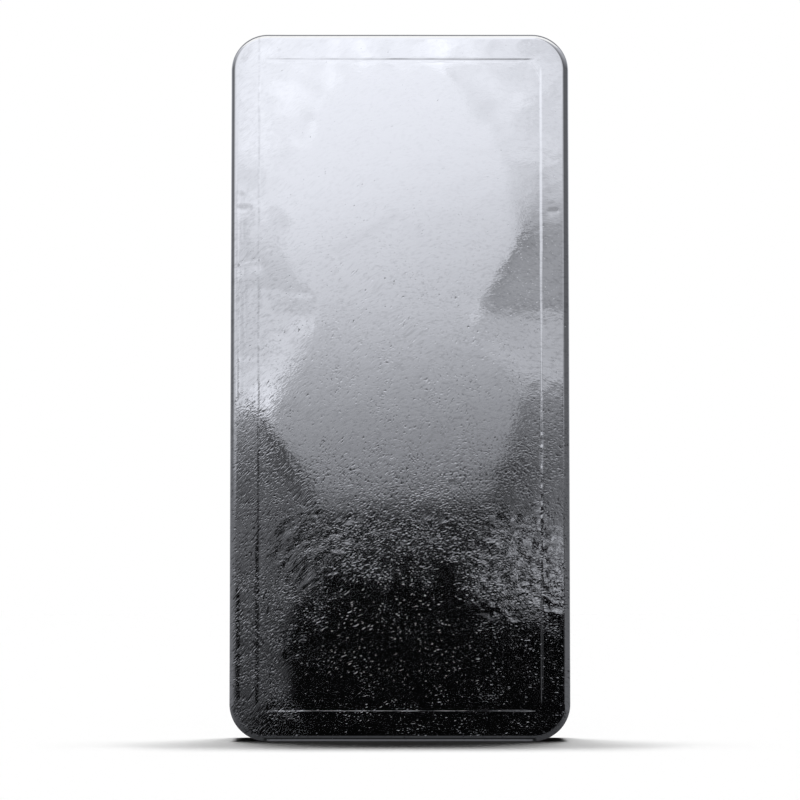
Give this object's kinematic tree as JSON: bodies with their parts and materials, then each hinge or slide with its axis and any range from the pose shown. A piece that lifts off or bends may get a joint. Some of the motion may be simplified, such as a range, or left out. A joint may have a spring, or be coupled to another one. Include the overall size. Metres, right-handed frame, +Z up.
{
  "type": "silver ingot",
  "caption": "Polished silver bar, a plain slab with rounded corners, rolled edges and a fine frame line pressed into its face, standing on its short end.",
  "frame": {"origin": "centre of the short end that the bar stands on", "axes": "+Z up along the bar's length, +X across its width to the right, -Y out of the face with the frame line"},
  "size_m": [0.079, 0.023, 0.165],
  "materials": {
    "silver": "polished"
  },
  "bodies": {
    "root": {"ingot": "silver"}
  },
  "joints": []
}
